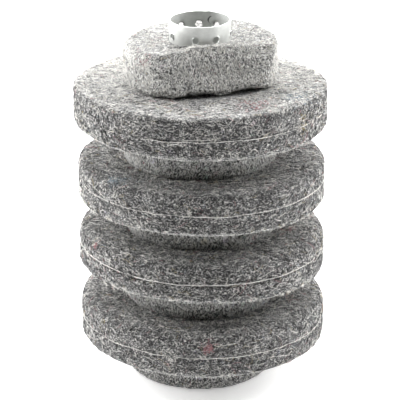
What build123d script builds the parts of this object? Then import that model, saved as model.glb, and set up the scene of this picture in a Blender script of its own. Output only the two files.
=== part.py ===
from build123d import *
import os
from math import cos, radians, sin

# A grooved felt polishing wheel: large felt discs and small felt spacer discs take turns along a thin,
# rolled sheet-metal sleeve, whose punched burrs bite into the felt and keep it from turning.
# Sizes are in millimetres. +Z is the wheel's axis, and the origin is the centre of its lower end.

# Felt discs, from the lowest up: a small one, then a large one and a small one in turn
large_radius = 75.0
small_radius = 45.5
small_heights = [22.4, 19.4, 18.6, 21.7, 24.8]
large_heights = [26.7, 24.8, 24.4, 24.9]

# Roundings that cutting and wear leave on the felt's edges
large_top_roundings = [7.5, 7.0, 4.5, 3.2]
large_bottom_rounding = 3.0
small_top_roundings = [4.0, 4.0, 4.0, 4.0, 5.0]
small_bottom_roundings = [4.0, 3.0, 3.0, 3.0, 4.5]
ply_rounding = 0.5

# The top disc's front is trimmed by a flat sloping cut: where it faces (degrees round the axis), and its
# distance from the axis at the disc's upper face and at its underside
trim_facing = -72.4
trim_top_distance = 24.5
trim_base_distance = 37.0

# Woven scrim, one sheet between a large disc's two plies and one under the lower ply
scrim_thickness = 0.6
mid_scrim_radius = large_radius - 0.3
base_scrim_radius = large_radius - large_bottom_rounding

# Rolled sleeve
sleeve_length = 220.0
sheet_thickness = 0.8
bore_radius = 17.4

# The sheet's ends overlap: the outer end steps over the inner one and stops past it (degrees round the axis)
inner_end_angle = 72.0
lap_angle = 40.0
step_gap_angle = 2.0
step_run_angle = 4.0
# How far the step's outer bends lie past those of the groove under it, so that the sheet keeps its thickness
step_top_lead = 0.7
step_foot_lead = 0.6

# Punched holes, in level rows from one end of the sleeve to the other
hole_radius = 2.0
hole_rows = 14
first_row_from_end = 8.0
hole_angles = [-151, -98, -59, -13, 24, 56, 92, 129, 167]
punch_length = 8.0
burr_base_radius = 2.7
burr_tip_radius = 2.3
burr_height = 0.6
mouth_radius = 2.8
mouth_depth = 0.35
mouth_start = -0.3

skin_radius = bore_radius + sheet_thickness
lap_radius = skin_radius + sheet_thickness

os.makedirs("parts", exist_ok=True)


def save(piece, name):
    piece.part.label = name
    export_step(piece.part, f"parts/{name}.step")


def round_the_axis(radius, angle):
    return (radius * cos(radians(angle)), radius * sin(radians(angle)))


def felt_ply(name, radius, low, high, low_rounding, high_rounding, trim=None):
    """One ring of felt with a rounded rim, gripped on the sleeve. A trim plane cuts off what it faces."""
    with BuildPart() as ply:
        with BuildSketch(Plane.XZ):
            with Locations(((skin_radius + radius) / 2, (low + high) / 2)):
                Rectangle(radius - skin_radius, high - low)
            rim_corners = vertices().group_by(Axis.X)[-1].sort_by(Axis.Y)
            fillet(rim_corners[0], low_rounding)
            fillet(vertices().group_by(Axis.Y)[-1].sort_by(Axis.X)[-1], high_rounding)
        revolve(axis=Axis.Z)
        if trim:
            split(bisect_by=trim, keep=Keep.BOTTOM)
    save(ply, name)


def scrim_sheet(name, radius, low):
    """One washer of thin woven cloth."""
    with BuildPart() as scrim:
        with BuildSketch(Plane.XY.offset(low)):
            Circle(radius)
            Circle(skin_radius, mode=Mode.SUBTRACT)
        extrude(amount=scrim_thickness)
    save(scrim, name)


def front_trim(base, height):
    """The plane of the top disc's flat cut. Its normal leans up and out of the felt."""
    outward_x, outward_y = round_the_axis(1, trim_facing)
    slope = (trim_base_distance - trim_top_distance) / height
    place = (*round_the_axis(trim_base_distance, trim_facing), base)
    return Plane(origin=place, z_dir=(outward_x, outward_y, slope))


def small_disc(number, base):
    """A spacer disc of two plain plies. Returns the height of its upper face."""
    height = small_heights[number - 1]
    joint = base + height / 2
    name = f"small_disc_{number}"
    low_rounding = small_bottom_roundings[number - 1]
    high_rounding = small_top_roundings[number - 1]
    trim = front_trim(base, height) if number == len(small_heights) else None
    felt_ply(f"{name}_lower_ply", small_radius, base, joint, low_rounding, ply_rounding, trim)
    felt_ply(f"{name}_upper_ply", small_radius, joint, base + height, ply_rounding, high_rounding, trim)
    return base + height


def large_disc(number, base):
    """A working disc: scrim, ply, scrim, ply. Returns the height of its upper face."""
    height = large_heights[number - 1]
    ply_height = height / 2 - scrim_thickness
    lower_ply = base + scrim_thickness
    mid_scrim = lower_ply + ply_height
    upper_ply = mid_scrim + scrim_thickness
    name = f"large_disc_{number}"
    scrim_sheet(f"{name}_base_scrim", base_scrim_radius, base)
    felt_ply(f"{name}_lower_ply", large_radius, lower_ply, mid_scrim, large_bottom_rounding, ply_rounding)
    scrim_sheet(f"{name}_mid_scrim", mid_scrim_radius, mid_scrim)
    high_rounding = large_top_roundings[number - 1]
    felt_ply(f"{name}_upper_ply", large_radius, upper_ply, base + height, ply_rounding, high_rounding)
    return base + height


# The stack of felt
stack_top = 0.0
for number in range(1, len(small_heights) + 1):
    stack_top = small_disc(number, stack_top)
    if number <= len(large_heights):
        stack_top = large_disc(number, stack_top)


# The places of the punched holes: each looks outward from inside the sheet
row_pitch = (sleeve_length - 2 * first_row_from_end) / (hole_rows - 1)
plain_holes = []
lap_holes = []
for row in range(hole_rows):
    for angle in hole_angles:
        x, y = round_the_axis(bore_radius, angle)
        place = Plane(origin=(x, y, first_row_from_end + row * row_pitch), z_dir=(x, y, 0)).location
        on_lap = inner_end_angle - lap_angle <= angle <= inner_end_angle
        (lap_holes if on_lap else plain_holes).append(place)

# The sleeve: a rolled strip whose outer end steps out over the inner one, with burred holes all round
with BuildPart() as core_sleeve:
    with BuildSketch():
        with BuildLine():
            outer_end = inner_end_angle - lap_angle
            step_top = inner_end_angle + step_gap_angle + step_top_lead
            step_foot = inner_end_angle + step_gap_angle + step_run_angle + step_foot_lead
            CenterArc((0, 0), skin_radius, step_foot, 360 + outer_end - step_foot)
            Line(round_the_axis(skin_radius, outer_end), round_the_axis(lap_radius, outer_end))
            CenterArc((0, 0), lap_radius, outer_end, step_top - outer_end)
            Line(round_the_axis(lap_radius, step_top), round_the_axis(skin_radius, step_foot))
        make_face()
        with BuildLine():
            groove_foot = inner_end_angle + step_gap_angle
            groove_mouth = groove_foot + step_run_angle
            CenterArc((0, 0), bore_radius, groove_mouth, 360 + inner_end_angle - groove_mouth)
            Line(round_the_axis(bore_radius, inner_end_angle), round_the_axis(skin_radius, inner_end_angle))
            CenterArc((0, 0), skin_radius, inner_end_angle, step_gap_angle)
            Line(round_the_axis(skin_radius, groove_foot), round_the_axis(bore_radius, groove_mouth))
        make_face(mode=Mode.SUBTRACT)
    extrude(amount=sleeve_length)
    outward = (Align.CENTER, Align.CENTER, Align.MIN)
    for places, sheet in ((plain_holes, sheet_thickness), (lap_holes, 2 * sheet_thickness)):
        with Locations(*[place * Location((0, 0, sheet / 2)) for place in places]):
            Cone(burr_base_radius, burr_tip_radius, sheet / 2 + burr_height, align=outward)
    with Locations(*plain_holes, *lap_holes):
        Cylinder(hole_radius, punch_length, mode=Mode.SUBTRACT)
    with Locations(*[place * Location((0, 0, mouth_start)) for place in plain_holes + lap_holes]):
        Cone(mouth_radius, hole_radius, mouth_depth - mouth_start, align=outward, mode=Mode.SUBTRACT)
save(core_sleeve, "core_sleeve")

print(f"felt stack {stack_top:.1f} mm, sleeve stands {sleeve_length - stack_top:.1f} mm out of it")
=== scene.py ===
import math
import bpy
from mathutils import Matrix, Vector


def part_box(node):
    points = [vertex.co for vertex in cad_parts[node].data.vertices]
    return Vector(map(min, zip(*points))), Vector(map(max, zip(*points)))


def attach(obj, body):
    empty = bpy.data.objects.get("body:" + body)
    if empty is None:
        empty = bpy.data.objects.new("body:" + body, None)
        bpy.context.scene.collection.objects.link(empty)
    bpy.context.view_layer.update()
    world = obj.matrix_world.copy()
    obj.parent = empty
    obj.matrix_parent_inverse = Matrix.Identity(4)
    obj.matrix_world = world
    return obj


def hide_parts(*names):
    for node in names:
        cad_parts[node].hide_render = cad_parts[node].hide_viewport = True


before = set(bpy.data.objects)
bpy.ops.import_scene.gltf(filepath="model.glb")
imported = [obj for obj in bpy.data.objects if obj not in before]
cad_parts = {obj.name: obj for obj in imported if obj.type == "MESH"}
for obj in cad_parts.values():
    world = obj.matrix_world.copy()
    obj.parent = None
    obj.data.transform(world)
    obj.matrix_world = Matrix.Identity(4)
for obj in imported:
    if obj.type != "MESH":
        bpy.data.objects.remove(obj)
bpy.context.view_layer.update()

from types import SimpleNamespace

import bpy
import numpy as np
from mathutils import Vector

# Shapes are worked out in millimetres and written to the meshes in metres, in the frame's own axes.
MM = 0.001


# --- the felt discs, read from the frame ---

def box_mm(node):
    """A node's lowest and highest corners."""
    low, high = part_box(node)
    return np.array(low) / MM, np.array(high) / MM


def read_disc(kind, number):
    """A disc's radius and its levels: its underside, the joint of its plies and its top."""
    name = f"{kind}_disc_{number}"
    low, high = box_mm(f"{name}_lower_ply")
    upper_low, upper_high = box_mm(f"{name}_upper_ply")
    return SimpleNamespace(name=name, kind=kind, large=kind == "large", number=number,
                           radius=(high[0] - low[0]) / 2, low=low[2], joint_low=high[2],
                           joint_high=upper_low[2], high=upper_high[2])


SMALL_DISCS = [read_disc("small", number) for number in (1, 2, 3, 4, 5)]
LARGE_DISCS = [read_disc("large", number) for number in (1, 2, 3, 4)]
TOP_DISC = SMALL_DISCS[-1]
# The top large disc, whose felt is lighter than that of the discs below it, which are darkened as painted
# shade
TOP_LARGE_DISC = LARGE_DISCS[-1]
SLEEVE_RADIUS = 18.2
SLEEVE_LOW, SLEEVE_HIGH = (corner[2] for corner in box_mm("core_sleeve"))


# --- smooth random fields ---

TABLE_SIZE = 4096


def field(points, size, seed):
    """A smooth random value from -1 to 1 at each point, with bumps about size across."""
    table = np.random.default_rng(seed).uniform(-1, 1, TABLE_SIZE)
    scaled = points / size + seed % 97
    cell = np.floor(scaled).astype(np.int64)
    part = scaled - cell
    part = part * part * (3 - 2 * part)
    total = np.zeros(len(points))
    for corner in range(8):
        step = np.array([corner & 1, corner >> 1 & 1, corner >> 2 & 1])
        x, y, z = (cell + step).T
        value = table[(x * 73856093 ^ y * 19349663 ^ z * 83492791) % TABLE_SIZE]
        total += value * np.where(step, part, 1 - part).prod(axis=1)
    return total


def layered(points, size, seed, layers, fade=0.55):
    """Fields of ever smaller size, added up."""
    return sum(field(points, size / 2 ** k, seed + 11 * k) * fade ** k for k in range(layers))


def smooth_step(value, low, high):
    part = np.clip((value - low) / (high - low), 0, 1)
    return part * part * (3 - 2 * part)


# --- meshes ---

def unit(vectors):
    """Vectors of length one, along the last axis."""
    return vectors / np.maximum(np.linalg.norm(vectors, axis=-1, keepdims=True), 1e-9)


def round_axis(turn, r, z):
    """Points at some angles round the sleeve's axis, distances from it and heights."""
    return np.column_stack([np.cos(turn) * r, np.sin(turn) * r, z])


def linked(name, data):
    """A new object in the scene."""
    thing = bpy.data.objects.new(name, data)
    bpy.context.scene.collection.objects.link(thing)
    return thing


def add_mesh(name, points, faces, materials, face_materials=None):
    """A mesh object from points in mm and faces that all have the same number of corners."""
    corners = faces.shape[1]
    mesh = bpy.data.meshes.new(name)
    mesh.vertices.add(len(points))
    mesh.vertices.foreach_set("co", (points * MM).astype(np.float32).ravel())
    mesh.loops.add(faces.size)
    mesh.loops.foreach_set("vertex_index", faces.astype(np.int32).ravel())
    mesh.polygons.add(len(faces))
    mesh.polygons.foreach_set("loop_start", np.arange(0, faces.size, corners, dtype=np.int32))
    mesh.polygons.foreach_set("use_smooth", np.ones(len(faces), bool))
    for material in materials:
        mesh.materials.append(material)
    if face_materials is not None:
        mesh.polygons.foreach_set("material_index", face_materials.astype(np.int32))
    mesh.update()
    mesh.validate()
    return linked(name, mesh)


def swept(section, columns):
    """A section (radius, height) swept round the axis, as each point's angle, radius and height."""
    turn = np.tile(np.linspace(0, math.tau, columns, endpoint=False), len(section))
    return turn, *np.repeat(section, columns, axis=0).T


def ring_faces(rows, columns):
    """The quads of a closed surface of rows x columns points that joins up both ways."""
    row, column = np.meshgrid(np.arange(rows), np.arange(columns), indexing="ij")
    next_row, next_column = (row + 1) % rows, (column + 1) % columns
    quads = [row * columns + column, row * columns + next_column,
             next_row * columns + next_column, next_row * columns + column]
    return np.stack(quads, axis=-1).reshape(-1, 4)


def stretch(start, end, spacing):
    """Points from start up to, but without, end."""
    start, end = np.array(start, float), np.array(end, float)
    count = max(1, round(float(np.linalg.norm(end - start)) / spacing))
    return start + (end - start) * np.arange(count)[:, None] / count


def bend(centre, width, height, start, end, spacing):
    """Points of an elliptical corner, up to, but without, its end. Angles are in degrees."""
    count = max(3, round(math.radians(abs(end - start)) * (width + height) / 2 / spacing))
    angle = np.radians(start + (end - start) * np.arange(count) / count)
    return np.column_stack([centre[0] + width * np.cos(angle), centre[1] + height * np.sin(angle)])


# --- how the hand-made stack differs from a perfect one ---

# The discs' tilt, as the rise per mm towards +X at some heights
TILT_HEIGHTS = (0, 22, 49, 70, 93, 112, 136, 158, 220)
TILT_SLOPES = (0, -0.017, -0.013, -0.020, -0.022, -0.010, -0.003, 0, 0)


def tilted(points):
    moved = points.copy()
    moved[:, 2] += np.interp(points[:, 2], TILT_HEIGHTS, TILT_SLOPES) * points[:, 0]
    return moved


# Each disc's own rounding of its top and bottom edges, and how uneven its outline is
SHAPES = {"large_disc_1": (7.5, 3, 0.5), "large_disc_2": (7, 3, 0.5), "large_disc_3": (4.5, 2.6, 0.45),
          "large_disc_4": (3.2, 2.8, 0.5), "small_disc_1": (4, 4, 0.5), "small_disc_5": (5, 4.5, 0.9),
          **{f"small_disc_{number}": (4, 3, 0.6) for number in (2, 3, 4)}}
JOINT_ROUNDING = 0.5
# How much each large disc's felt has grown, and how far it sits towards +X
LARGE_OUTLINES = {1: (-0.5, 1.4), 2: (-1.2, 1.2), 3: (-1.5, 0.9), 4: (0, 0)}
# How far each large disc's lower rim sags at its sides, how much more so towards +X, and its sag in front
LOWER_RIMS = {1: (0.4, 0, 0), 2: (1.4, 0.7, -1.4), 3: (1.4, 0.4, 0), 4: (0, 1.4, 0)}
# How deep each small disc is pressed into the large disc under it
PRESSED = {2: 2.6, 3: 1.9, 4: 0.8}
# How much the back of the top large disc's upper edge is worn down
WORN_BACK = 2.2

# The felt's bore is this much inside the sleeve, so that no gap shows between them
BORE_OVERLAP = 0.6
# Nearer the axis than this, the felt keeps its place
COLLAR = SLEEVE_RADIUS + 1
# A large disc's faces are hidden between the small discs nearer the axis than this
HIDDEN_RADIUS = 40
# The spacing of a section's points where they show and where they don't, and the points round each disc
FINE = 0.8
COARSE = 5.0
COLUMNS = {"large": 600, "small": 420}


def ply_section(disc, upper):
    """A ply's closed section as points (radius, height), and which of them are outer skin.

    It runs from the bore outwards along the underside, up the rim and back over the top.
    """
    top_rounding, bottom_rounding, _ = SHAPES[disc.name]
    radius, bore = disc.radius, SLEEVE_RADIUS - BORE_OVERLAP
    if upper:
        low, high = disc.joint_high, disc.high
        low_bend, high_bend = JOINT_ROUNDING, top_rounding
    else:
        low, high = disc.low, disc.joint_low
        low_bend, high_bend = bottom_rounding, JOINT_ROUNDING
    open_top = upper and (disc.large or disc is TOP_DISC)
    open_base = not upper and (disc.large or disc is SMALL_DISCS[0])
    seen_from = (HIDDEN_RADIUS if disc.large else bore) + 0.1
    low_edge, high_edge = radius - low_bend, radius - high_bend
    parts = []

    def level(start, end, height, spacing, seen):
        parts.append((stretch((start, height), (end, height), spacing), seen))

    if open_base:
        level(bore, seen_from, low, COARSE, not disc.large)
        level(seen_from, low_edge, low, 2 * FINE, True)
    else:
        level(bore, low_edge, low, COARSE, False)
    parts += [(bend((low_edge, low + low_bend), low_bend, low_bend, -90, 0, FINE), not upper),
              (stretch((radius, low + low_bend), (radius, high - high_bend), FINE), True),
              (bend((high_edge, high - high_bend), high_bend, high_bend, 0, 90, FINE), upper)]
    if open_top:
        level(high_edge, seen_from, high, FINE, True)
        level(seen_from, bore, high, COARSE, False)
    else:
        level(high_edge, bore, high, COARSE, False)
    parts.append((stretch((bore, high), (bore, low), COARSE), False))
    section = np.concatenate([points for points, _ in parts])
    return section, np.concatenate([np.full(len(points), seen) for points, seen in parts])


# The top disc's front was trimmed back along a sloping flat cut that faces this way (degrees round the axis)
CUT_FACING = -72.4
# The cut's distance from the axis at some heights, as a share of the disc's height
CUT_HEIGHTS = (0, 0.45, 0.52, 0.8, 1)
CUT_DISTANCES = (37.5, 32, 30.2, 28, 24.5)
# How round the edges are where the cut meets the rim
CUT_SOFTNESS = 1.2
# How high the top disc's felt stands before the sleeve and at the back, how far the rest of its top falls
# towards its edge, and how high the cut's foot is lifted
LIP, BACK_RISE, FALL, FOOT_LIFT = 2.6, 2.8, 0.8, 4.2


def trim_top_disc(r, z, turn):
    """Squeezes the top disc between sleeve and cut, and raises its felt before the sleeve into a lip."""
    radius = TOP_DISC.radius
    height = (z - TOP_DISC.low) / (TOP_DISC.high - TOP_DISC.low)
    facing = turn - math.radians(CUT_FACING)
    limit = np.interp(height, CUT_HEIGHTS, CUT_DISTANCES) / np.maximum(np.cos(facing), 0.2)
    past = np.exp(np.clip((radius - limit) / CUT_SOFTNESS, -30, 30))
    limit = radius - CUT_SOFTNESS * np.log1p(past)
    share = np.clip((r - COLLAR) / (radius - COLLAR), 0, 1)
    before_sleeve = np.exp(-(np.sin(facing / 2) / 0.36) ** 2)
    upper = smooth_step(height, 0.6, 1)
    lift = upper * (LIP * before_sleeve * (0.75 + 0.25 * share) - FALL * share * (1 - before_sleeve))
    behind = smooth_step(np.cos(turn - math.radians(30)), 0.5, 0.95)
    lift = lift + BACK_RISE * upper * share * behind
    foot = FOOT_LIFT * (0.72 + 0.4 * np.cos(8 * (turn + math.pi / 2)))
    at_cut = smooth_step(np.cos(facing), 0.5, 0.8)
    lift = lift + foot * at_cut * smooth_step(share, 0.45, 1) * (1 - height) ** 2.5
    return np.where(r > COLLAR, COLLAR + share * (limit - COLLAR), r), z + lift


def top_disc_dents(points):
    """A crease in the foot of the top disc's cut front, and a lump of felt on the lip before the sleeve."""
    crease = np.exp(-((points[:, 0] + 6.6) / 1.5) ** 2) * smooth_step(-points[:, 1], 30, 34)
    crease = crease * smooth_step(195 - points[:, 2], 0, 6)
    lump = np.exp(-(((points - (-4.3, -24, 209)) / (4.5, 2.6, 3)) ** 2).sum(axis=1))
    return 1.1 * lump - 1.5 * crease


# The slit in the top large disc's face: its middle, the way it runs, its depth, and its half width and length
SLIT_MIDDLE = (47.0, -25.6)
SLIT_ALONG = (0.95, 0.31)
SLIT_ACROSS = (-0.31, 0.95)
SLIT_DEPTH, SLIT_HALF_WIDTH, SLIT_HALF_LENGTH = 2.6, 1.0, 6.5


def top_slit(points):
    """How deep the top large disc's face is torn, beside the top small disc's foot."""
    place = points[:, :2] - SLIT_MIDDLE
    along = place @ SLIT_ALONG
    across = place @ SLIT_ACROSS + 0.6 * np.sin(along * 0.45)
    narrow = np.exp(-(across / SLIT_HALF_WIDTH) ** 2)
    return SLIT_DEPTH * narrow * smooth_step(SLIT_HALF_LENGTH - np.abs(along), 0, 3)


def off_round(disc, turn, z):
    """How far a disc's outline is off its circle, at some angles round the axis and heights."""
    grown, aside = LARGE_OUTLINES[disc.number] if disc.large else (0, 0)
    waves = layered(round_axis(turn, disc.radius, z * 0.6), 40, 100 * disc.number, 3)
    return SHAPES[disc.name][2] * waves + grown + aside * np.cos(turn)


def sagging(disc, r, z, turn):
    """How far a large disc's lower rim hangs below its level underside."""
    if not disc.large:
        return 0
    sides, aside, front = LOWER_RIMS[disc.number]
    along_rim = sides * np.cos(turn) ** 2 + aside * np.cos(turn) + front * np.minimum(np.sin(turn), 0) ** 2
    return along_rim * smooth_step(disc.joint_low - z, 2, 9) * smooth_step(r, 50, 66)


def pressed(disc, upper, r, z):
    """How far a ply's felt is pushed down where a small disc is pressed into the large disc under it."""
    if disc.large and upper:
        near_face = smooth_step(z, disc.joint_high + 3, disc.high - 1)
        return PRESSED.get(disc.number + 1, 0) * near_face * (1 - smooth_step(r, 46, 60))
    if not disc.large and not upper:
        return PRESSED.get(disc.number, 0) * (1 - smooth_step(z, disc.low + 1, disc.joint_low - 2))
    return 0


def worn_back(disc, r, z, turn):
    """How far the top large disc's upper edge is worn down towards its back."""
    worn = smooth_step(np.sin(turn), 0, 0.6) * smooth_step(r, disc.radius - 18, disc.radius - 2)
    return WORN_BACK * worn * smooth_step(z, disc.joint_high + 2, disc.high)


def ply_grid(disc, upper, seed):
    """A ply's roughened surface as points[row, column] and its normals, and which rows are outer skin."""
    section, skin = ply_section(disc, upper)
    columns = COLUMNS[disc.kind]
    turn, r, level = swept(section, columns)
    z = level - sagging(disc, r, level, turn) - pressed(disc, upper, r, level)
    r = r + off_round(disc, turn, level) * smooth_step(r, COLLAR, disc.radius - 4)
    if disc is TOP_DISC:
        r, z = trim_top_disc(r, z, turn)
    clean_top = upper and disc is TOP_LARGE_DISC
    if clean_top:
        z = z - worn_back(disc, r, z, turn)
    grid = round_axis(turn, r, z).reshape(len(section), columns, 3)
    up_the_section = np.roll(grid, -1, axis=0) - np.roll(grid, 1, axis=0)
    round_the_rim = np.roll(grid, -1, axis=1) - np.roll(grid, 1, axis=1)
    normal = unit(np.cross(round_the_rim, up_the_section))
    points = grid.reshape(-1, 3)
    lumps = (0.26 * layered(points, 13, seed + 1, 2) + 0.22 * layered(points, 4.5, seed + 2, 2)
             + 0.17 * layered(points, 1.8, seed + 3, 1))
    if clean_top:
        lumps = lumps - top_slit(points)
    if disc is TOP_DISC:
        lumps = lumps + top_disc_dents(points)
    weight = np.repeat(skin, columns) * smooth_step(r, COLLAR, COLLAR + 3)
    points = tilted(points + normal.reshape(-1, 3) * (lumps * weight)[:, None])
    points[:, 2] = np.maximum(points[:, 2], 0)
    return points.reshape(grid.shape), normal, skin


# --- materials ---

class Nodes:
    """A short way to write the node tree of a material or of the world."""

    def __init__(self, owner, shader="Principled BSDF", place="Object"):
        owner.use_nodes = True
        self.owner = owner
        self.tree = owner.node_tree
        self.shader = self.tree.nodes[shader]
        self.place = self.add("ShaderNodeTexCoord").outputs[place]

    def add(self, kind, inputs=(), **settings):
        node = self.tree.nodes.new(kind)
        for key, value in settings.items():
            setattr(node, key, value)
        for key, value in dict(inputs).items():
            self.put(node.inputs[key], value)
        return node

    def put(self, socket, value):
        if isinstance(value, bpy.types.NodeSocket):
            self.tree.links.new(value, socket)
        else:
            socket.default_value = value

    def finished(self, values):
        """Sets or links the shader's own sockets, and returns the material."""
        for name, value in values.items():
            self.put(self.shader.inputs[name], value)
        return self.owner

    def math(self, operation, *values):
        return self.add("ShaderNodeMath", dict(enumerate(values)), operation=operation).outputs[0]

    def product(self, one, other):
        return self.math("MULTIPLY", one, other)

    def off_centre(self, value, centre, gain):
        """The value's difference from a centre, times a gain."""
        return self.product(self.math("SUBTRACT", value, centre), gain)

    def vector(self, operation, inputs):
        return self.add("ShaderNodeVectorMath", inputs, operation=operation).outputs

    def axes(self, vector):
        return self.add("ShaderNodeSeparateXYZ", {"Vector": vector}).outputs

    def normal(self):
        return self.add("ShaderNodeNewGeometry").outputs["Normal"]

    def stretched(self, scale=(1, 1, 1), offset=(0, 0, 0)):
        """The object's coordinates in mm, scaled along each axis."""
        inputs = {"Vector": self.place, "Scale": [s / MM for s in scale], "Location": offset}
        return self.add("ShaderNodeMapping", inputs).outputs[0]

    def noise(self, vector, scale=1.0, detail=2.0, roughness=0.5, output="Fac"):
        inputs = {"Vector": vector, "Scale": scale, "Detail": detail, "Roughness": roughness}
        return self.add("ShaderNodeTexNoise", inputs).outputs[output]

    def remap(self, value, low, high, new_low=0.0, new_high=1.0, smooth=False):
        inputs = {"Value": value, "From Min": low, "From Max": high, "To Min": new_low, "To Max": new_high}
        kind = "SMOOTHSTEP" if smooth else "LINEAR"
        return self.add("ShaderNodeMapRange", inputs, interpolation_type=kind).outputs["Result"]

    def mix(self, share, one, other, blend="MIX"):
        node = self.add("ShaderNodeMix", data_type="RGBA", blend_type=blend)
        for socket, value in ((0, share), (6, one), (7, other)):
            self.put(node.inputs[socket], value)
        return node.outputs[2]

    def ramp(self, value, stops):
        node = self.add("ShaderNodeValToRGB", {"Fac": value})
        elements = node.color_ramp.elements
        while len(elements) < len(stops):
            elements.new(0.5)
        for element, (position, colour) in zip(elements, stops):
            element.position = position
            element.color = (*colour, 1)
        return node.outputs["Color"]

    def bump(self, height, strength, distance):
        inputs = {"Height": height, "Strength": strength, "Distance": distance * MM}
        return self.add("ShaderNodeBump", inputs).outputs["Normal"]


def new_material(name):
    return Nodes(bpy.data.materials.new(name))


# Felt's colours from its darkest to its lightest fibres, the lightest that it gets, and the dyes of its tufts
FELT_SHADES = ((0.05, (0.016, 0.0155, 0.016)), (0.32, (0.095, 0.095, 0.093)),
               (0.58, (0.270, 0.268, 0.260)), (0.95, (0.80, 0.79, 0.765)))
LIGHTEST_FELT = (0.86, 0.855, 0.84)
TUFT_DYES = ((0.0, (0.66, 0.44, 0.44)), (0.3, (0.44, 0.46, 0.62)), (0.55, (0.57, 0.53, 0.38)),
             (0.8, (0.42, 0.54, 0.49)))


def felt_material(name, tone, middle, relief, flow, seed):
    """Grey wool felt. Its faces show fibres lying flat, and its cut rim a coarser mix of light and dark ends.

    tone lightens it, middle is the shade of its rim and of its faces, relief is how rough it is, and flow is
    how its fibres run, as the scale along each axis.
    """
    nodes = new_material(name)
    shift = (seed * 13.0, seed * 7.0, seed * 5.0)
    flowing = nodes.stretched(flow, shift)
    even = nodes.stretched(offset=shift)
    wander = nodes.noise(even, 0.28, output="Color")
    swirl = nodes.vector("SCALE", {0: wander, "Scale": 4.0})[0]
    curled = nodes.vector("ADD", {0: flowing, 1: swirl})[0]
    on_face = nodes.remap(nodes.math("ABSOLUTE", nodes.axes(nodes.normal())["Z"]), 0.5, 0.85, smooth=True)

    def strands(scale, offset, width=0.035):
        """Thin wandering lines, 1 along each and 0 between them."""
        moved = nodes.vector("ADD", {0: curled, 1: (offset, offset * 0.7, offset * 1.3)})[0]
        level = nodes.math("SUBTRACT", nodes.noise(moved, scale, 1.0), 0.5)
        return nodes.remap(nodes.math("ABSOLUTE", level), 0, width, 1, 0, smooth=True)

    light = nodes.math("MAXIMUM", strands(0.42, 3.1), strands(0.60, 41.7))
    dark = nodes.math("MAXIMUM", strands(0.5, 77.3), strands(0.36, 19.9))
    coarse = nodes.noise(curled, 0.95, 2.0, 0.6)
    fine = nodes.noise(curled, 1.7, 2.0, 0.6)
    clumps = nodes.noise(even, 0.30, 3.0, 0.6)
    patches = nodes.noise(even, 0.05, 3.0, 0.6)
    layers = nodes.noise(nodes.stretched((0.10, 0.10, 0.95), shift), 1.0, 2.0, 0.6)
    # The rim's and the faces' shades differ partly as the felt's own, partly as painted light and shade, set
    # to how much light rims and faces get
    value = nodes.remap(on_face, 0, 1, *middle)
    # Each pattern, its middle value, and its strengths on the faces and on the rim
    for pattern, centre, face_gain, rim_gain in (
            (coarse, 0.5, 2.6, 6.0), (fine, 0.5, 1.8, 3.8), (clumps, 0.5, 1.1, 1.0), (patches, 0.5, 0.6, 0.5),
            (layers, 0.5, 0.0, 0.6), (light, 0.1, 0.30, 0.40), (dark, 0.1, -0.30, -0.40)):
        gain = nodes.remap(on_face, 0, 1, rim_gain, face_gain)
        value = nodes.math("ADD", value, nodes.off_centre(pattern, centre, gain))
    shades = [(place, np.minimum(np.multiply(shade, tone), LIGHTEST_FELT)) for place, shade in FELT_SHADES]
    colour = nodes.ramp(value, shades)
    tufts = nodes.add("ShaderNodeTexVoronoi", {"Vector": even, "Scale": 0.17, "Randomness": 1.0})
    tuft_edge = nodes.math("ADD", tufts.outputs["Distance"], nodes.off_centre(fine, 0.5, 0.9))
    near = nodes.remap(tuft_edge, 0.25, 0.5, 1, 0, smooth=True)
    kind = nodes.add("ShaderNodeSeparateColor", {"Color": tufts.outputs["Color"]}).outputs
    dye = nodes.ramp(kind["Green"], TUFT_DYES)
    rare = nodes.remap(kind["Red"], 0.80, 0.84)
    brighter = nodes.mix(1.0, colour, (1.9, 1.9, 1.9, 1), "MULTIPLY")
    dyed = nodes.mix(1.0, brighter, dye, "MULTIPLY")
    tinted = nodes.mix(nodes.product(nodes.product(near, rare), 0.55), colour, dyed)
    return nodes.finished({"Base Color": tinted, "Normal": nodes.bump(value, relief, 0.6), "Roughness": 1.0,
                           "Specular IOR Level": 0.15, "Sheen Weight": 0.5, "Sheen Roughness": 0.5})


def strand_material(name, colour):
    """One dye of wool, for single strands that are too thin to show a pattern."""
    nodes = new_material(name)
    return nodes.finished({"Base Color": (*colour, 1), "Roughness": 0.9, "Specular IOR Level": 0.2,
                           "Sheen Weight": 0.3})


def scrim_material():
    """Plain-woven cloth: pale yarns with felt showing in the holes between them."""
    nodes = new_material("scrim_cloth")
    even = nodes.stretched()
    wobble = nodes.vector("SCALE", {0: nodes.noise(even, 0.4, output="Color"), "Scale": 0.9})[0]
    axes = nodes.axes(nodes.vector("ADD", {0: even, 1: wobble})[0])
    waves = [nodes.math("SINE", nodes.product(axes[axis], 2.4)) for axis in "XY"]
    across, along = (nodes.math("ABSOLUTE", wave) for wave in waves)
    fuzz = nodes.noise(even, 2.0, 3.0, 0.7)
    value = nodes.math("ADD", nodes.math("MAXIMUM", across, along), nodes.off_centre(fuzz, 0.5, 0.8))
    shades = [(0.45, (0.08, 0.08, 0.08)), (0.75, (0.27, 0.267, 0.26)), (1.0, (0.56, 0.55, 0.53))]
    colour = nodes.ramp(value, shades)
    return nodes.finished({"Base Color": colour, "Normal": nodes.bump(value, 0.8, 0.3), "Roughness": 0.95,
                           "Sheen Weight": 0.2})


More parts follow.
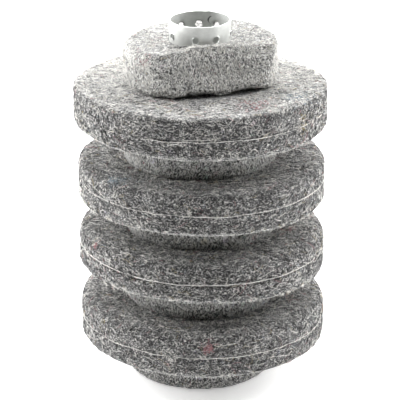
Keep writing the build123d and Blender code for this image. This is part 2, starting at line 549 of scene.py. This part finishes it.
def sheet_metal():
    """Plain rolled sheet with a faint grain and spangle, and a near-black line painted on its inner side as
    the shade of the gap under its bowed inner end.
    """
    nodes = new_material("sheet_metal")
    even = nodes.stretched()
    grain = nodes.noise(nodes.stretched((0.6, 0.6, 4.0)), 1.0, 4.0, 0.6)
    cloud = nodes.noise(even, 0.16, 3.0, 0.5)
    shade = nodes.math("ADD", nodes.product(grain, 0.35), nodes.product(cloud, 0.65))
    colour = nodes.ramp(shade, [(0.3, (0.46, 0.47, 0.455)), (0.7, (0.63, 0.64, 0.62))])
    axes = nodes.axes(even)
    turn = nodes.math("DEGREES", nodes.math("ARCTAN2", axes["Y"], axes["X"]))
    away = nodes.math("DIVIDE", nodes.math("SUBTRACT", axes["Z"], SEAM_LEVEL), 2.9)
    bow = nodes.product(nodes.product(away, away), SEAM_SHADE_BOW)
    gap = nodes.math("SUBTRACT", INNER_END - 360 + SEAM_SHADE_BOW, bow)
    beside = nodes.math("ABSOLUTE", nodes.math("SUBTRACT", turn, gap))
    beside = nodes.remap(beside, 0.7, 2.4, 1, 0, smooth=True)
    level = nodes.remap(nodes.math("ABSOLUTE", away), 0.85, 1.05, 0.85, 0, smooth=True)
    facing = nodes.vector("DOT_PRODUCT", {0: nodes.normal(), 1: even})["Value"]
    inside = nodes.remap(facing, -0.5 * SLEEVE_RADIUS, -0.1 * SLEEVE_RADIUS, 1, 0)
    # Painted shade: the inner side turns near black along the gap under the bowed inner end
    painted_gap_shade = nodes.product(nodes.product(beside, level), inside)
    return nodes.finished({
        "Base Color": nodes.mix(painted_gap_shade, colour, (0.02, 0.02, 0.02, 1)), "Metallic": 0.75,
        "Roughness": nodes.remap(shade, 0.3, 0.7, 0.58, 0.46), "Normal": nodes.bump(shade, 0.25, 0.15)})


def torn_metal_and_shade():
    """The dull torn edge round a punched hole, darker than the metal's own dullness as painted shade in the
    hole.
    """
    nodes = new_material("torn_metal_and_shade")
    specks = nodes.noise(nodes.stretched(), 2.2, 3.0, 0.6)
    colour = nodes.ramp(specks, [(0.3, (0.10, 0.10, 0.098)), (0.7, (0.36, 0.36, 0.35))])
    return nodes.finished({"Base Color": colour, "Roughness": 0.6, "Metallic": 0.75})


# --- strands of wool ---

STRAND_SIDES = 3


def strand_mesh(points, ups, widths):
    """The corners and faces of thin three-sided closed tubes, and the strand that each face is on.

    points and ups are [strand, step, axis], and widths are [strand, step].
    """
    count, steps = points.shape[:2]
    along = unit(np.gradient(points, axis=1))
    side = unit(np.cross(along, ups))
    up = np.cross(side, along)
    half = widths[:, :, None] / 2
    angles = math.tau * np.arange(STRAND_SIDES) / STRAND_SIDES
    rings = [points + (up * math.cos(angle) + side * math.sin(angle)) * half for angle in angles]
    corners = np.stack(rings, axis=2).reshape(-1, 3)
    first = np.arange(count)[:, None, None] * steps * STRAND_SIDES
    step = np.arange(steps - 1)[None, :, None] * STRAND_SIDES
    corner = np.arange(STRAND_SIDES)[None, None, :]
    a, b = first + step + corner, first + step + (corner + 1) % STRAND_SIDES
    a, b, c, d = (x.ravel() for x in (a, b, b + STRAND_SIDES, a + STRAND_SIDES))
    start = np.arange(count) * steps * STRAND_SIDES
    end = start + (steps - 1) * STRAND_SIDES
    faces = [(a, c, b), (a, d, c), (start, start + 1, start + 2), (end, end + 2, end + 1)]
    walls = np.repeat(np.arange(count), (steps - 1) * STRAND_SIDES)
    owner = np.concatenate([walls, walls, np.arange(count), np.arange(count)])
    return corners, np.concatenate([np.column_stack(three) for three in faces]), owner


class Skin:
    """The outer skin of a whole disc, from its underside up its rim to its top, for strands to lie on."""

    def __init__(self, grids):
        self.points = np.concatenate([points[skin] for points, _, skin in grids])
        self.normals = np.concatenate([normals[skin] for _, normals, skin in grids])
        self.rows, self.columns = self.points.shape[:2]
        steps = np.linalg.norm(np.diff(self.points, axis=0, append=self.points[-1:]), axis=2).mean(axis=1)
        self.gap = np.clip(steps, 0.3, 3)
        self.radius = np.hypot(self.points[:, :, 0], self.points[:, :, 1]).mean(axis=1)
        self.level = self.points[:, :, 2].mean(axis=1)
        self.up = self.normals[:, :, 2].mean(axis=1)

    def at(self, grid, row, column):
        """The grid's value at fractional rows and columns. Columns join up and rows turn back at the ends."""
        last = self.rows - 1.001
        row = np.where(row < 0, -row, row)
        row = np.clip(np.where(row > last, 2 * last - row, row), 0, last)
        r0, c0 = np.floor(row).astype(int), np.floor(column).astype(int)
        fr, fc = (row - r0)[:, None], (column - c0)[:, None]
        c0, c1 = c0 % self.columns, (c0 + 1) % self.columns
        return ((grid[r0, c0] * (1 - fr) + grid[r0 + 1, c0] * fr) * (1 - fc)
                + (grid[r0, c1] * (1 - fr) + grid[r0 + 1, c1] * fr) * fc)

    def outwards(self, row, column):
        """The skin's own direction at fractional rows and columns."""
        return unit(self.at(self.normals, row, column))

    def whole(self, row):
        return np.clip(row.astype(int), 0, self.rows - 1)

    def on_rim(self, row):
        """Whether fractional rows are on the disc's rim rather than on its faces."""
        return np.abs(self.up[self.whole(row)]) < 0.75

    def seeds(self, count, liking, rng):
        """Random rows and columns, spread by area times liking, a value for each row."""
        weight = self.gap * self.radius * liking
        row = rng.choice(self.rows, count, p=weight / weight.sum()) + rng.uniform(0, 1, count)
        return row, rng.uniform(0, self.columns, count)

    def near(self, place, count, spread, rng):
        """Random rows and columns round the skin's nearest point to a place."""
        away = ((self.points - np.array(place)) ** 2).sum(axis=2)
        row, column = np.unravel_index(away.argmin(), away.shape)
        pitch = self.radius[row] * math.tau / self.columns
        rows = row + rng.normal(0, spread / self.gap[row], count)
        return rows, column + rng.normal(0, spread / pitch, count)


# The wool's shades and dyes, in the order that the shares below count them
STRAND_DYES = {
    "pale": (0.87, 0.855, 0.815), "grey": (0.36, 0.36, 0.35), "dark": (0.018, 0.017, 0.018),
    "rose": (0.42, 0.20, 0.21), "blue": (0.24, 0.29, 0.33), "ochre": (0.46, 0.38, 0.20)}
WOOL = [strand_material(f"wool_{dye}", colour) for dye, colour in STRAND_DYES.items()]
# How common each dye is in the matted strands, the coarse hairs and the fuzz, on rims and on faces. Rims and
# faces differ partly as the wool's own, partly as painted light and shade, set to how much light each gets
MATTED = ((0.15, 0.05, 0.76, 0.015, 0.01, 0.015), (0.54, 0.26, 0.16, 0.015, 0.01, 0.015))
# The lower large discs' matted wool, darker as painted shade between the discs
MATTED_IN_PAINTED_SHADE = ((0.11, 0.04, 0.81, 0.015, 0.01, 0.015), (0.14, 0.13, 0.69, 0.015, 0.01, 0.015))
COARSE_HAIR = ((0.35, 0.03, 0.59, 0.01, 0.01, 0.01), (0.57, 0.12, 0.28, 0.01, 0.01, 0.01))
FUZZ = ((0.60, 0.16, 0.22, 0.01, 0.005, 0.005), (0.86, 0.10, 0.02, 0.01, 0.005, 0.005))
PALE_WOOL = ((0.70, 0.18, 0.10, 0.007, 0.007, 0.006), (0.44, 0.51, 0.03, 0.007, 0.007, 0.006))
# The lowest small disc's wool, darker as painted shade at the foot of the stack
WOOL_IN_PAINTED_SHADE = ((0.36, 0.26, 0.35, 0.01, 0.01, 0.01),) * 2
PALE_FUZZ = ((0.90, 0.08, 0.01, 0.004, 0.003, 0.003), (0.60, 0.37, 0.02, 0.004, 0.003, 0.003))
FRINGE = ((0.80, 0.12, 0.05, 0.01, 0.01, 0.01),) * 2
SPARSE_FRINGE = ((0.50, 0.20, 0.27, 0.01, 0.01, 0.01),) * 2
# How far the wool's shades hold together, how long a strand can get, and how deep it starts in the felt
CLUMP = 0.7
LONGEST_STRAND = 24
ROOTED = 0.04


def lying_strands(skin, start, rng, steps, length, width, heading, spread, curl, lift, loose):
    """Strands that lie on a skin from their starts, as rows and columns.

    length and width are ranges. heading and spread, in degrees from level, are how they run on the rim. curl
    is how much a strand bends, and loose is the share with an end that stands off by about lift.
    """
    row, column = start
    count = len(row)
    on_rim = skin.on_rim(row)
    ordered = np.radians(heading + rng.normal(0, spread, count))
    direction = np.where(on_rim, ordered, rng.uniform(0, math.tau, count))
    turning = rng.normal(0, curl, count)
    reach = np.clip(rng.gamma(3.0, (length[1] - length[0]) / 6, count) + length[0], 0, LONGEST_STRAND)
    step = reach / steps
    is_loose = rng.uniform(0, 1, count) < loose
    standing = np.minimum(rng.gamma(2.0, lift * 0.9, count), 3.5 * lift)
    height = np.where(is_loose, standing, rng.uniform(0.1, 1.0, count) * lift)
    paths, ups = [], []
    for k in range(steps + 1):
        part = k / steps
        bow = math.sin(math.pi * (0.12 + 0.76 * part))
        rise = np.where(is_loose, height * part ** 1.5, height * bow) - ROOTED
        up = skin.outwards(row, column)
        paths.append(skin.at(skin.points, row, column) + up * rise[:, None])
        ups.append(up)
        here = skin.whole(row)
        row = row + step * np.sin(direction) / skin.gap[here]
        column = column + step * np.cos(direction) / (skin.radius[here] * math.tau / skin.columns)
        direction = direction + turning * step + rng.normal(0, 0.12, count)
    taper = 0.45 + 0.55 * np.sin(math.pi * (0.15 + 0.75 * np.linspace(0, 1, steps + 1)))
    return np.stack(paths, axis=1), np.stack(ups, axis=1), rng.uniform(*width, count)[:, None] * taper, on_rim


def standing_strands(skin, count, liking, rng, length, width):
    """Short hairs that stand off a skin and lean over."""
    row, column = skin.seeds(count, liking, rng)
    foot, up = skin.at(skin.points, row, column), skin.outwards(row, column)
    lean = rng.normal(0, 1, (count, 3))
    lean = unit(lean - (lean * up).sum(axis=1, keepdims=True) * up)
    reach = rng.uniform(*length, count)[:, None]
    slant = rng.uniform(0.3, 1.3, count)[:, None]
    middle, tip = up * 0.55 + lean * 0.35 * slant, up * 0.8 + lean * slant
    paths = np.stack([foot - up * 0.1, foot + middle * reach, foot + tip * reach], axis=1)
    ups = np.repeat(np.cross(up, lean)[:, None, :], 3, axis=1)
    return paths, ups, rng.uniform(*width, count)[:, None] * np.array([1.0, 0.8, 0.4]), skin.on_rim(row)


# --- the pieces ---

def settle(piece, node):
    """Rides a piece on the wheel's one body, as the stand-in for a CAD node if it is one."""
    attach(piece, "root")
    if node is not None:
        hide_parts(node)


def choose_dyes(strands, shares, seed, front_shadow=0.0):
    """A dye for each strand, by the shares on rims and on faces.

    Strands close together tend to share a shade. The last argument is how much more dark wool a face has near
    its front, a painted shadow of the top small disc.
    """
    places, on_rim = strands[0][:, 1], strands[3]
    rng = np.random.default_rng(seed)
    shade = layered(places, CLUMP, seed, 2) + rng.normal(0, 0.25, len(places))
    # Painted shadow of the top small disc: a face gets more dark wool towards its front
    front = smooth_step(-places[:, 1], 20, 50) * smooth_step(60 - np.abs(places[:, 0]), 0, 30)
    shade = shade - front_shadow * front * ~on_rim
    rank = (np.argsort(np.argsort(shade)) + 0.5) / len(places)
    share = np.where(on_rim[:, None], *(np.array([row]) for row in shares))
    plain, dyed = share[:, :3], share[:, 3:]
    plain = plain / plain.sum(axis=1, keepdims=True)
    tone = np.where(rank < plain[:, 2], 2, np.where(rank < plain[:, 1] + plain[:, 2], 1, 0))
    draw = rng.uniform(0, 1, len(places))
    bounds = np.cumsum(dyed, axis=1)
    colour = 3 + (draw[:, None] > bounds[:, :2]).sum(axis=1)
    return np.where(draw < bounds[:, 2], colour, tone)


def add_strands(name, strands, dye):
    """The mesh of some strands, each with its dye. Those that would poke through the floor are raised."""
    points, ups, widths = strands[:3]
    lowest = points[:, :, 2].min(axis=1) - widths.max(axis=1) / 2
    points = points + np.maximum(-lowest, 0)[:, None, None] * (0, 0, 1)
    corners, faces, owner = strand_mesh(points, ups, widths)
    settle(add_mesh(name, corners, faces, WOOL, dye[owner]), None)


def off_slit(disc, skin, start):
    """Leaves out the starts that would lie across the slit in the top large disc."""
    if disc is not TOP_LARGE_DISC:
        return start
    clear = top_slit(skin.at(skin.points, *start)) < 0.15
    return start[0][clear], start[1][clear]


# How many matted strands, coarse hairs, hairs of fuzz and stray fibres cover each kind of disc
WOOL_COUNTS = {"large": (7000, 5000, 6000, 22), "top": (6400, 3200, 7000, 10), "small": (2200, 700, 2500, 10)}
# How much darker the top large disc's face is towards its front: a painted shadow of the top small disc
PAINTED_FRONT_SHADOW = 0.5


def clothe(disc, skin, seed):
    """Covers a disc's skin with matted strands, coarse pale hairs, a short fuzz and a few stray fibres."""
    rng = np.random.default_rng(seed)
    large, top = disc.large, disc is TOP_DISC
    matted_count, coarse_count, fuzz_count, stray_count = WOOL_COUNTS["top" if top else disc.kind]
    under = np.where(skin.up < -0.85, 0.2, 1.0)
    upright = np.abs(skin.up) < 0.6
    way = (0, 38) if large else (90, 40)
    plain_dyes = WOOL_IN_PAINTED_SHADE if disc is SMALL_DISCS[0] else PALE_WOOL
    matted_dyes = MATTED if disc is TOP_LARGE_DISC else MATTED_IN_PAINTED_SHADE if large else plain_dyes
    front_shadow = PAINTED_FRONT_SHADOW if disc is TOP_LARGE_DISC else 0.0

    def add(kind, strands, shares, number, front_shadow=0.0):
        dye = choose_dyes(strands, shares, seed + number, front_shadow)
        add_strands(f"{disc.name}_{kind}", strands, dye)

    start = off_slit(disc, skin, skin.seeds(matted_count, under, rng))
    length, width = (1.2, 9) if large else (0.8, 4.5), (0.11, 0.27) if top else (0.13, 0.30)
    matted = lying_strands(skin, start, rng, 4, length, width, *way, curl=0.18, lift=0.30, loose=0.10)
    add("matted_wool", matted, matted_dyes, 1, front_shadow)
    start = off_slit(disc, skin, skin.seeds(coarse_count, np.where(upright, 2.4, 1.0) * under, rng))
    width = (0.18, 0.38) if top else (0.20, 0.40)
    coarse = lying_strands(skin, start, rng, 6, (0.6, 3.8), width, *way, curl=0.6, lift=0.36, loose=0.16)
    add("coarse_hair", coarse, COARSE_HAIR if large else plain_dyes, 2, front_shadow)
    liking = np.where(upright & large, 0.3, 1.0) * under
    length = (0.5, 2.2) if large else (0.4, 1.5)
    fuzz = standing_strands(skin, fuzz_count, liking, rng, length, (0.09, 0.17))
    add("fuzz", fuzz, FUZZ if large else PALE_FUZZ, 3, front_shadow)
    start = skin.seeds(stray_count, under, rng)
    stray = lying_strands(skin, start, rng, 8, (5, 11), (0.22, 0.34), 45, 90, curl=0.2, lift=1.5, loose=1)
    add("stray_fibres", stray, PALE_FUZZ, 4)


# Tufts that stand out from a disc's skin: their places, dyes, numbers of strands, spreads and headings
TUFTS = {
    "large_disc_1": [((3.8, -75.4, 42.7), "rose", 44, 1.9, 0), ((32, -67.7, 39.6), "pale", 9, 0.4, 0),
                     ((-22.1, -59.1, 49.2), "pale", 9, 0.5, 0), ((-18.5, -72.7, 32), "pale", 22, 3.2, 90),
                     ((-60.3, -45, 33), "pale", 8, 1.2, 0)],
    "large_disc_2": [((-17.1, -72.2, 70.7), "pale", 9, 0.5, 0), ((-63.7, -36.1, 92), "rose", 14, 1.4, 0),
                     ((52.9, -11, 92), "rose", 16, 2.2, 0)],
    "large_disc_3": [((-47.8, -46.2, 136.4), "blue", 60, 3.2, 0), ((-7.1, -74.7, 126.6), "pale", 7, 0.4, 0)],
    "large_disc_4": [((32.3, -46.1, 182.8), "rose", 46, 4.6, 0), ((55.1, -33.3, 182.8), "blue", 60, 4.6, 0),
                     ((57.6, -47, 170.5), "ochre", 16, 2.4, 0)],
    "small_disc_5": [((-33, -29.4, 205), "rose", 16, 2.8, 0), ((-10, -19, 210.5), "dark", 22, 1.2, 0),
                     ((-5, -24.5, 210.5), "pale", 40, 1.8, 0)],
}
# How many long pale threads lie along each large disc's rim
LAID_THREADS = {1: 16, 2: 14, 3: 7, 4: 5}


def add_tufts(disc, skin, seed):
    """The disc's own tufts of dyed and pale wool, and the long threads along its rim."""
    rng = np.random.default_rng(seed)
    parts, dye = [], []
    for place, colour, count, spread, heading in TUFTS.get(disc.name, []):
        start = skin.near(place, count, spread, rng)
        way = heading, 10 if heading else 60
        parts.append(lying_strands(skin, start, rng, 8, (1.0, 3.5), (0.28, 0.5), *way,
                                   curl=0.5, lift=0.5, loose=0.2))
        dye.append(np.full(count, list(STRAND_DYES).index(colour)))
    if disc.large:
        start = skin.seeds(LAID_THREADS[disc.number], (np.abs(skin.up) < 0.3) * 1.0, rng)
        parts.append(lying_strands(skin, start, rng, 8, (8, 20), (0.26, 0.4), 0, 7,
                                   curl=0.02, lift=0.35, loose=0.1))
        dye.append(np.zeros(len(start[0]), int))
    if parts:
        strands = [np.concatenate(part) for part in zip(*parts)]
        add_strands(f"{disc.name}_tufts", strands, np.concatenate(dye))


def fray(disc, skin, seed):
    """The loops and ends of scrim yarn and wool that hang at a large disc's lower edge, in broken clumps."""
    rng = np.random.default_rng(seed)
    edge = np.exp(-((skin.level - disc.low - 1.1) / 0.9) ** 2) * (skin.radius > disc.radius - 3.2)
    row, column = skin.seeds(1500, edge, rng)
    clean = disc is TOP_LARGE_DISC
    clumps = layered(skin.at(skin.points, row, column), 3.2, seed + 2, 2) + rng.normal(0, 0.15, len(row))
    thick = clumps > (0.8 if clean else 0.25)
    start = row[thick], column[thick]
    fringe = lying_strands(skin, start, rng, 6, (0.8, 3.2), (0.15, 0.38), 0, 70,
                           curl=1.1, lift=0.9, loose=0.3)
    dye = choose_dyes(fringe, SPARSE_FRINGE if clean else FRINGE, seed + 1)
    add_strands(f"{disc.name}_fringe", fringe, dye)


# How far each large disc's cut yarn stands out of its rim, how far it has slipped down, and where it stands
# out most (degrees round the axis)
CUT_YARN = {1: (0.06, 0.2, -125), 2: (0.08, -0.9, -90), 3: (0.12, 0, -50), 4: (-0.13, 1.0, -42)}
YARN_SIDES = 5
YARN_POINTS = 900


def thread_line(disc, skin, seed):
    """The cut yarn that shows round a large disc's rim, between its plies, in long wavering stretches."""
    proud, drop, side = CUT_YARN[disc.number]
    level = (disc.joint_low + disc.joint_high) / 2 - drop
    columns = np.linspace(0, skin.columns, YARN_POINTS, endpoint=False)
    row = np.full(YARN_POINTS, np.interp(level, skin.level, np.arange(skin.rows)))
    spot = skin.at(skin.points, row, columns)
    up = skin.at(skin.normals, row, columns)
    wander = 0.35 * layered(spot, 9, seed, 3)
    facing = np.cos(np.arctan2(spot[:, 1], spot[:, 0]) - math.radians(side))
    spot = spot + up * (proud + 0.16 * facing + 0.30 * layered(spot, 14, seed + 1, 3))[:, None]
    spot[:, 2] += wander
    half = (0.34 + 0.14 * layered(spot, 2.5, seed + 2, 2))[:, None] / 2
    angles = math.tau * np.arange(YARN_SIDES) / YARN_SIDES
    rings = [spot + (up * math.cos(a) + np.array([0, 0, 1]) * math.sin(a)) * half for a in angles]
    faces = ring_faces(YARN_SIDES, YARN_POINTS)[:, ::-1]
    settle(add_mesh(f"{disc.name}_cut_yarn", np.concatenate(rings), faces, WOOL[:1]), None)


def make_ply(disc, upper, felt, seed):
    points, normals, skin = ply_grid(disc, upper, seed)
    name = f"{disc.name}_{'upper' if upper else 'lower'}"
    piece = add_mesh(f"{name}_felt", points.reshape(-1, 3), ring_faces(*points.shape[:2]), [felt])
    settle(piece, f"{name}_ply")
    return points, normals, skin


CLOTH = scrim_material()
# How far out a scrim's section is flat and coarse
SCRIM_FLAT = 45


def add_scrim(disc, kind, low, high, rim, edge, seed):
    """A scrim from its levels and its rim's section, as a washer cut flat that lies on a ply."""
    section = np.concatenate([[(SLEEVE_RADIUS, low), (SCRIM_FLAT, low)], rim,
                              [(SCRIM_FLAT, high), (SLEEVE_RADIUS, high)]])
    turn, r, z = swept(section, COLUMNS["large"])
    ragged = (r > edge - 2) * 0.2 * layered(round_axis(turn, r, z), 5, seed, 2)
    sunk = z - sagging(disc, r, z, turn)
    r = r + off_round(disc, turn, z) * smooth_step(r, COLLAR, edge) + ragged
    name = f"{disc.name}_{kind}_scrim"
    points = tilted(round_axis(turn, r, sunk))
    piece = add_mesh(f"{name}_cloth", points, ring_faces(len(section), COLUMNS["large"]), [CLOTH])
    settle(piece, name)


def make_mid_scrim(disc, seed):
    """The washer of scrim between a large disc's plies, with a wavering cut edge."""
    edge, low, high = disc.radius - 0.5, disc.joint_low, disc.joint_high
    rim = [(edge - 1, low), (edge, low + 0.15), (edge, high - 0.15), (edge - 1, high)]
    add_scrim(disc, "mid", low, high, rim, edge, seed)


def make_base_scrim(disc, seed):
    """The scrim under a large disc, whose rim curls up round the felt's lower edge."""
    low, high = (corner[2] for corner in box_mm(f"{disc.name}_base_scrim"))
    rounding = SHAPES[disc.name][1]
    centre = (disc.radius - rounding, high + rounding)
    outer = bend(centre, rounding + 0.3, rounding + high - low, -90, -79, 0.5)
    inner = bend(centre, rounding - 0.1, rounding - 0.1, -79, -90, 0.5)
    rim = np.concatenate([outer, inner])
    add_scrim(disc, "base", low, high, rim, disc.radius - 2, seed)


# Each felt's tone, the shades of its rim and faces, its relief and the run of its fibres
# The lower large discs' felt is darker than the top large disc's, as painted shade between the discs
FELTS = {"felt_large": (1.0, (0.02, 0.17), 0.7, (1, 1, 1.3)),
         "felt_small": (2.3, (0.32, 0.38), 0.5, (1.2, 1.2, 0.7)),
         # The top disc's faces are darker than its rim, as painted shade against the strong light on its top
         "felt_top": (2.9, (0.26, 0.12), 0.4, (1.2, 1.2, 0.7)),
         "felt_large_top": (1.0, (0.05, 0.40), 0.7, (1, 1, 1.3)),
         # The lowest small disc's felt is darker than the other small discs', as painted shade at the foot of
         # the stack
         "felt_small_shaded": (1.5, (0.24, 0.3), 0.6, (1.1, 1.1, 1.0))}
# The discs whose felt is their own
OWN_FELTS = {"large_disc_4": "felt_large_top", "small_disc_1": "felt_small_shaded",
             "small_disc_5": "felt_top"}


def make_discs():
    felts = {name: felt_material(name, *looks, seed) for seed, (name, looks) in enumerate(FELTS.items(), 1)}
    for disc in LARGE_DISCS + SMALL_DISCS:
        felt = felts[OWN_FELTS.get(disc.name, f"felt_{disc.kind}")]
        seed = 100 * disc.number + (1000 if disc.large else 0)
        skin = Skin([make_ply(disc, False, felt, seed + 40), make_ply(disc, True, felt, seed)])
        clothe(disc, skin, seed + 50)
        add_tufts(disc, skin, seed + 55)
        if disc.large:
            fray(disc, skin, seed + 60)
            thread_line(disc, skin, seed + 70)
            make_mid_scrim(disc, seed + 80)
            make_base_scrim(disc, seed + 90)


# --- the sleeve ---

# The sheet's half thickness
HALF_SHEET = 0.4
# Where its outer end is, where it steps in under that end, and its inner end (degrees round the axis)
OUTER_END, STEP, INNER_END = 32, (73.5, 79), 426
# The punched holes' places round the sheet, their rows, and the end rows' distance from the sheet's ends
HOLE_TURNS = (56, 92, 129, 167, 209, 262, 301, 347, 384, 416)
HOLE_ROWS = 14
FIRST_ROW = 8
HOLE_RADIUS = 2.0
BURR_HEIGHT = 0.55
# The level where the inner end bows out and leaves a gap, and how far the painted shade line along that gap
# bows
SEAM_LEVEL = SLEEVE_HIGH - 5.4
SEAM_SHADE_BOW = 8.2
# The rings of points round a hole that shows and round a hidden one, and the widest ring of a torn edge,
# which is dark on the inner side partly as painted shade
LIP_RINGS = (2.0, 2.12, 2.3, 2.6, 3.1)
PLAIN_RINGS = (2.0, 2.7)
TORN_RING = 2.3
OUTER_RINGS = 4
# The points along each side of a hole's cell
CELL_SIDE = 8


def sheet_cell(turn, level, turns, levels, rings, phase):
    """The sheet round one hole, as rings of points from the torn lip out to the cell's four sides.

    Each point is (turn, level, lift, half thickness, whether it is on the torn edge).
    """
    side = np.arange(CELL_SIDE) / CELL_SIDE
    ones, zeros = np.ones(CELL_SIDE), np.zeros(CELL_SIDE)
    across = np.concatenate([side, ones, 1 - side, zeros])
    up = np.concatenate([zeros, side, ones, 1 - side])
    (left, right), (low, high) = turns, levels
    edge = np.column_stack([left + (right - left) * across, low + (high - low) * up])
    arc = math.radians(1) * (SLEEVE_RADIUS - HALF_SHEET)
    away = (edge - (turn, level)) * (arc, 1)
    bearing = np.arctan2(away[:, 1], away[:, 0])
    circle = np.column_stack([np.cos(bearing) / arc, np.sin(bearing)])
    torn = 1 + 0.30 * np.sin(3 * bearing + phase) + 0.18 * np.sin(7 * bearing + 2.3 * phase)
    found = []
    for ring in rings:
        near = math.exp(-(ring - HOLE_RADIUS) / 0.38)
        ragged = 1 + 0.05 * near * np.sin(5 * bearing + 1.7 * phase)
        place = (turn, level) + circle * (ring * ragged)[:, None]
        rest = np.tile((HALF_SHEET - 0.22 * near, ring <= TORN_RING), (len(edge), 1))
        found.append(np.column_stack([place, BURR_HEIGHT * near * torn, rest]))
    last = found[-1]
    for part in np.arange(1, OUTER_RINGS + 1) / OUTER_RINGS:
        place = last[:, :2] * (1 - part) + edge * part
        rest = np.tile((HALF_SHEET, 0), (len(edge), 1))
        found.append(np.column_stack([place, last[:, 2] * (1 - part) ** 3, rest]))
    return np.stack(found)


def sheet_points(flat, outwards):
    """Rolls flat sheet points up round the axis. outwards is 1 for the outer surface, -1 for the inner."""
    turn, level, lift, half = flat[:, :4].T
    bowed = np.exp(-((level - SEAM_LEVEL) / 2.2) ** 2) * smooth_step(turn, INNER_END - 6, INNER_END)
    turn = turn + 7.0 * bowed
    middle = SLEEVE_RADIUS - HALF_SHEET + (2 * HALF_SHEET + 0.05) * (1 - smooth_step(turn, *STEP))
    curl = 0.35 * smooth_step(turn, 418, INNER_END) * smooth_step(level, SLEEVE_HIGH - 22, SLEEVE_HIGH - 8)
    angle = np.radians(turn)
    place = round_axis(angle, middle, level)
    dents = 0.07 * layered(place, 16, 901, 2) + 0.03 * layered(place, 5, 902, 2)
    dents = dents + 0.12 * smooth_step(turn, 404, 424) * layered(place, 4, 903, 1)
    return round_axis(angle, middle - curl + dents + lift + outwards * half, level)


def make_sleeve():
    """The rolled sheet with its overlapping ends and its torn, burred holes."""
    rows = np.linspace(SLEEVE_LOW + FIRST_ROW, SLEEVE_HIGH - FIRST_ROW, HOLE_ROWS)
    levels = [SLEEVE_LOW, *((rows[1:] + rows[:-1]) / 2), SLEEVE_HIGH]
    holes = np.array(HOLE_TURNS, float)
    turns = [OUTER_END, *((holes[1:] + holes[:-1]) / 2), INNER_END]
    flats, faces, first = [], [], 0
    for row, level in enumerate(rows):
        rings = LIP_RINGS if row in (0, HOLE_ROWS - 1) else PLAIN_RINGS
        for column, turn in enumerate(holes):
            phase = row * 2.1 + column * 3.7
            cell = sheet_cell(turn, level, turns[column:column + 2], levels[row:row + 2], rings, phase)
            count, round_it = cell.shape[:2]
            quads = ring_faces(count, round_it)[:-round_it, ::-1]
            faces.append(np.roll(quads, 1, axis=1) + first)
            flats.append(cell.reshape(-1, cell.shape[2]))
            first += count * round_it
    flat, faces = np.concatenate(flats), np.concatenate(faces)
    _, keep, join = np.unique(np.round(flat[:, :2], 4), axis=0, return_index=True, return_inverse=True)
    flat, faces = flat[keep], join.reshape(-1)[faces]
    # The sheet's edges, which belong to one cell only, are walled up from the inner surface to the outer one
    starts, ends = faces.ravel(), np.roll(faces, -1, axis=1).ravel()
    open_edge = ~np.isin(starts * len(flat) + ends, ends * len(flat) + starts)
    a, b = starts[open_edge], ends[open_edge]
    walls = np.column_stack([b, a, a + len(flat), b + len(flat)])
    points = np.concatenate([sheet_points(flat, 1), sheet_points(flat, -1)])
    everything = np.concatenate([faces, faces[:, ::-1] + len(flat), walls])
    # Only the inner surface's torn edges are dull, and they are darker partly as painted shade in the holes
    torn = np.tile(flat[:, 4] > 0, 2)[everything].all(axis=1)
    torn[:len(faces)] = False
    torn[2 * len(faces):] = False
    piece = add_mesh("core_sleeve_sheet", points, everything, [sheet_metal(), torn_metal_and_shade()], torn)
    piece.data.set_sharp_from_angle(angle=math.radians(50))
    settle(piece, "core_sleeve")


# --- the studio ---

def make_floor():
    bpy.ops.mesh.primitive_plane_add(size=30)
    floor = bpy.context.object
    floor.name = "studio_floor"
    nodes = new_material("studio_floor")
    floor.data.materials.append(nodes.finished({
        "Base Color": (0.93, 0.93, 0.93, 1), "Roughness": 1.0, "Specular IOR Level": 0.0,
        "Emission Color": (1, 1, 1, 1), "Emission Strength": 0.32}))


# Each softbox's place, what it is aimed at, its width and height in metres, and its power
SOFTBOXES = {"back_box": ((0, 1.03, 0.98), (0, 0, 0.12), (1.4, 0.6), 40),
             "front_box": ((0.2, -0.5, 1.6), (0, 0, 0.15), (0.9, 0.7), 7.5),
             "left_box": ((-1.15, 0.3, 0.75), (0, 0, 0.1), (0.9, 1.0), 40),
             "right_box": ((1.15, 0.3, 0.75), (0, 0, 0.1), (0.9, 1.0), 29)}


def make_lights():
    """Softboxes behind, at both sides and in front, and a world that is dimmer towards the camera."""
    for name, (place, target, (width, height), power) in SOFTBOXES.items():
        light = bpy.data.lights.new(name, "AREA")
        light.shape = "RECTANGLE"
        light.size, light.size_y = width, height
        light.energy = power
        lamp = linked(name, light)
        lamp.location = place
        lamp.rotation_euler = (Vector(target) - Vector(place)).to_track_quat("-Z", "Y").to_euler()
    world = bpy.data.worlds.new("studio")
    bpy.context.scene.world = world
    nodes = Nodes(world, "Background", "Generated")
    axes = nodes.axes(nodes.place)
    lean = nodes.math("MULTIPLY_ADD", axes["Z"], 0.4, axes["Y"])
    nodes.finished({"Strength": nodes.remap(lean, -0.9, 0.1, 0.09, 1.0)})


# The camera's place in metres, its pitch below level in degrees, and its lens in mm, as fitted to the photo
CAMERA_PLACE = (0, -1.1005, 0.5381)
CAMERA_PITCH = 21.43
CAMERA_LENS = 175.2


def make_camera():
    data = bpy.data.cameras.new("camera")
    data.lens = CAMERA_LENS
    data.sensor_width = 36
    data.clip_start = 0.05
    camera = linked("camera", data)
    camera.location = CAMERA_PLACE
    camera.rotation_euler = (math.radians(90 - CAMERA_PITCH), 0, 0)
    bpy.context.scene.camera = camera


make_floor()
make_lights()
make_camera()
make_discs()
make_sleeve()
bpy.context.scene.view_settings.view_transform = "Standard"
